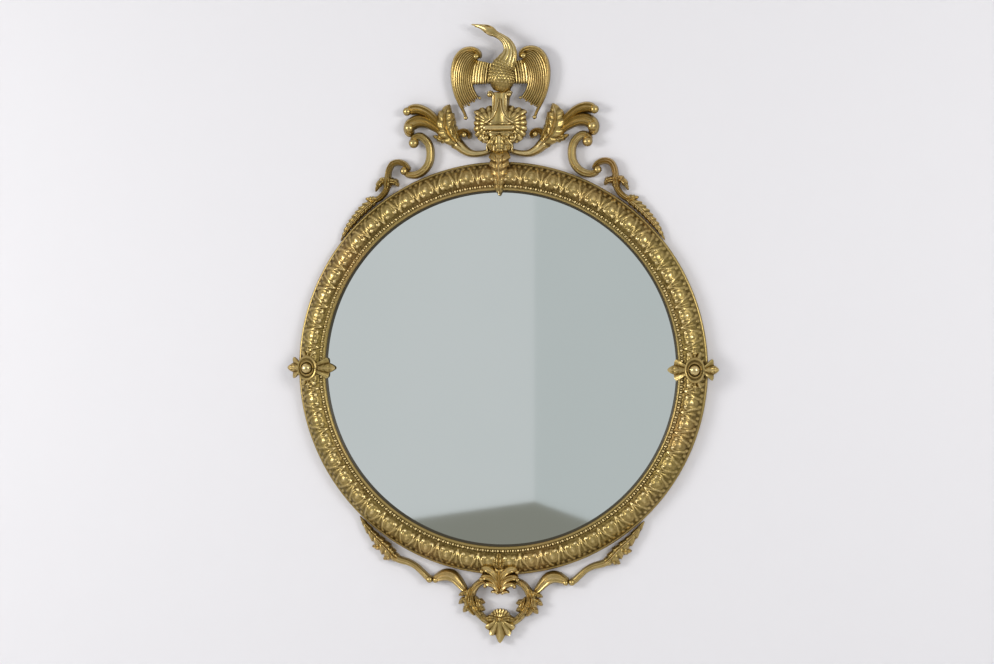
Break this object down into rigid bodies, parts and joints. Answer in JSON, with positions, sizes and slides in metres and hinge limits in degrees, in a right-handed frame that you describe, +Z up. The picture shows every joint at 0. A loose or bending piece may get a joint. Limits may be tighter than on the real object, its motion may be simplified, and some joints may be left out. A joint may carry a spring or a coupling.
{
  "type": "round wall mirror",
  "caption": "Round flat wall mirror in a cast-brass ring with a leaf-and-shell band, a bird crest with scrolling arms and a pierced scroll apron",
  "frame": {"origin": "on the ring's flat back rim, at its top, in the plane that lies against the wall", "axes": "+Z up towards the bird, +Y into the wall, so the mirror faces -Y; +X to the viewer's right"},
  "size_m": [0.632, 0.0413, 0.8976],
  "materials": {
    "cast_brass": "aged, polished on the high places, olive-brown in the recesses",
    "fitting_brass": "plain turned and stamped brass, dull",
    "steel": "dull zinc-grey",
    "mirror_plate": "silvered flat plate",
    "board": "bare plywood, darkened",
    "card": "plain grey-brown card"
  },
  "bodies": {
    "root": {"frame_ring": "cast_brass", "crest_cartouche": "cast_brass", "crest_drop": "cast_brass", "bird_body": "cast_brass", "apron_palmette": "cast_brass", "apron_pendant": "cast_brass", "bird_wing_right": "cast_brass", "crest_arm_right": "cast_brass", "crest_scroll_right": "cast_brass", "side_leaf_right": "cast_brass", "side_boss_right": "cast_brass", "apron_loop_right": "cast_brass", "apron_scroll_right": "cast_brass", "bird_wing_left": "cast_brass", "crest_arm_left": "cast_brass", "crest_scroll_left": "cast_brass", "side_leaf_left": "cast_brass", "side_boss_left": "cast_brass", "apron_loop_left": "cast_brass", "apron_scroll_left": "cast_brass", "cartouche_right_nut": "fitting_brass", "cartouche_left_nut": "fitting_brass", "crest_scroll_right_nut": "fitting_brass", "crest_scroll_left_nut": "fitting_brass", "apron_scroll_right_nut": "fitting_brass", "apron_scroll_left_nut": "fitting_brass", "side_boss_right_nut": "fitting_brass", "side_boss_left_nut": "fitting_brass", "palmette_nut": "fitting_brass", "turn_button_screw_1": "steel", "turn_button_screw_2": "steel", "turn_button_screw_3": "steel", "turn_button_screw_4": "steel", "turn_button_screw_5": "steel", "turn_button_screw_6": "steel", "hanger_strap": "steel", "hanger_screw_1": "steel", "hanger_screw_2": "steel", "mirror_plate": "mirror_plate", "packing_card": "card", "backboard": "board"},
    "hanger_ring": {"hanger_ring": "steel"},
    "turn_button_1": {"turn_button_1": "fitting_brass"},
    "turn_button_2": {"turn_button_2": "fitting_brass"},
    "turn_button_3": {"turn_button_3": "fitting_brass"},
    "turn_button_4": {"turn_button_4": "fitting_brass"},
    "turn_button_5": {"turn_button_5": "fitting_brass"},
    "turn_button_6": {"turn_button_6": "fitting_brass"}
  },
  "joints": [
    {"name": "hanger_swing", "type": "hinge", "parent": "root", "child": "hanger_ring", "pos_m": [0, -0.0031, -0.029], "axis": [1, 0, 0], "range_deg": [0, 170]},
    {"name": "button_turn_1", "type": "hinge", "parent": "root", "child": "turn_button_1", "pos_m": [0.13485, -0.0049, -0.06343], "axis": [0, 1, 0], "range_deg": [-90, 90]},
    {"name": "button_turn_2", "type": "hinge", "parent": "root", "child": "turn_button_2", "pos_m": [0.2697, -0.0049, -0.297], "axis": [0, 1, 0], "range_deg": [-90, 90]},
    {"name": "button_turn_3", "type": "hinge", "parent": "root", "child": "turn_button_3", "pos_m": [0.13485, -0.0049, -0.53057], "axis": [0, 1, 0], "range_deg": [-90, 90]},
    {"name": "button_turn_4", "type": "hinge", "parent": "root", "child": "turn_button_4", "pos_m": [-0.13485, -0.0049, -0.53057], "axis": [0, 1, 0], "range_deg": [-90, 90]},
    {"name": "button_turn_5", "type": "hinge", "parent": "root", "child": "turn_button_5", "pos_m": [-0.2697, -0.0049, -0.297], "axis": [0, 1, 0], "range_deg": [-90, 90]},
    {"name": "button_turn_6", "type": "hinge", "parent": "root", "child": "turn_button_6", "pos_m": [-0.13485, -0.0049, -0.06343], "axis": [0, 1, 0], "range_deg": [-90, 90]}
  ]
}
